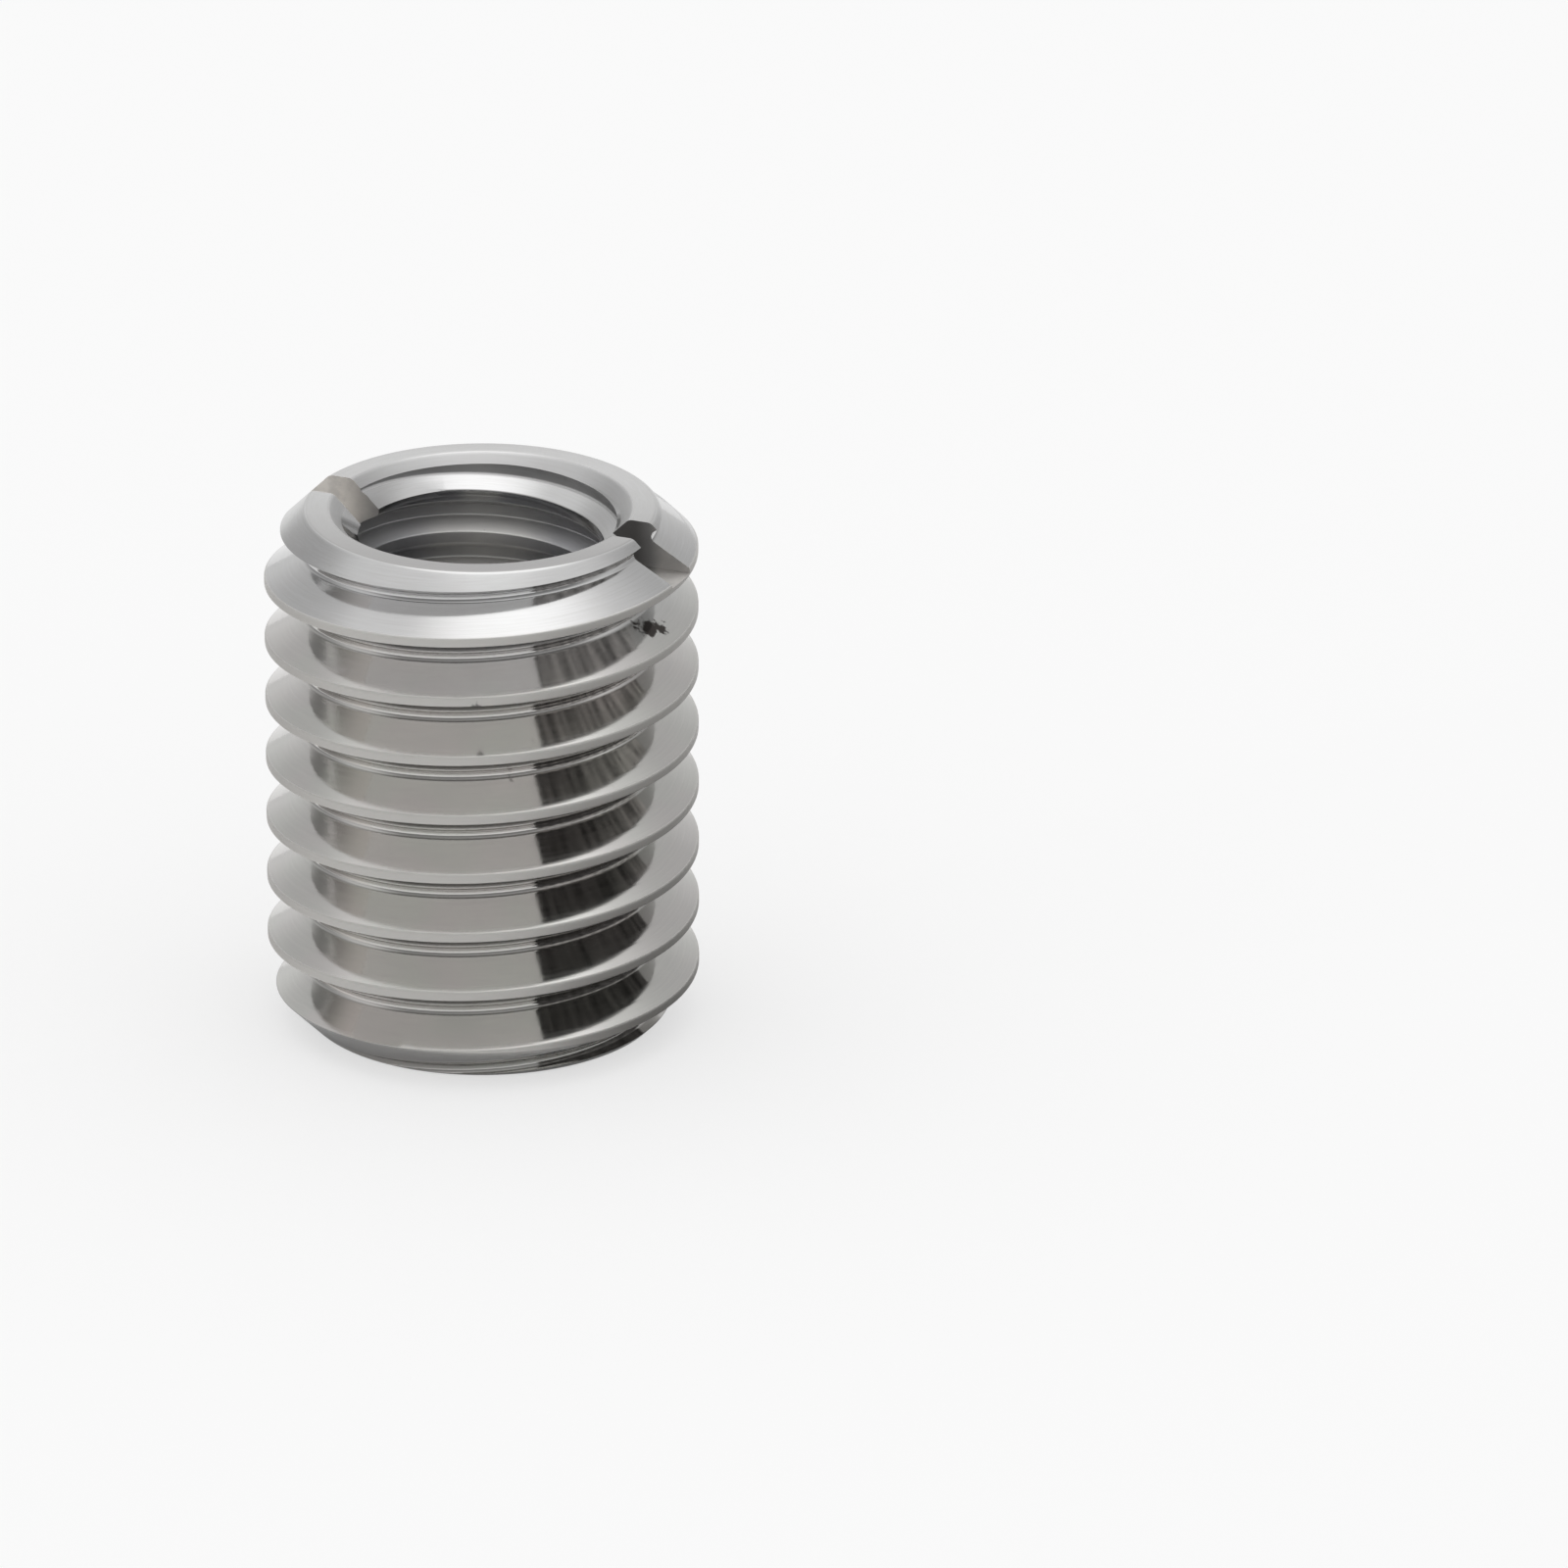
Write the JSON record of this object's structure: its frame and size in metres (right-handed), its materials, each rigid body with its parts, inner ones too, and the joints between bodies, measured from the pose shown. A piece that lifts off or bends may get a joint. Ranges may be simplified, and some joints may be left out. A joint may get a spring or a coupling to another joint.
{
  "type": "threaded insert",
  "caption": "Short metal tube with a coarse screw thread outside, a finer thread through its bore, chamfered ends and a straight driver slot across one end.",
  "frame": {"origin": "centre of the plain end, on the axis, where the insert stands", "axes": "+Z along the thread axis towards the slotted end"},
  "size_m": [0.012, 0.012, 0.015],
  "materials": {
    "stainless": "bright turned"
  },
  "bodies": {
    "root": {"threaded_insert": "stainless"}
  },
  "joints": []
}
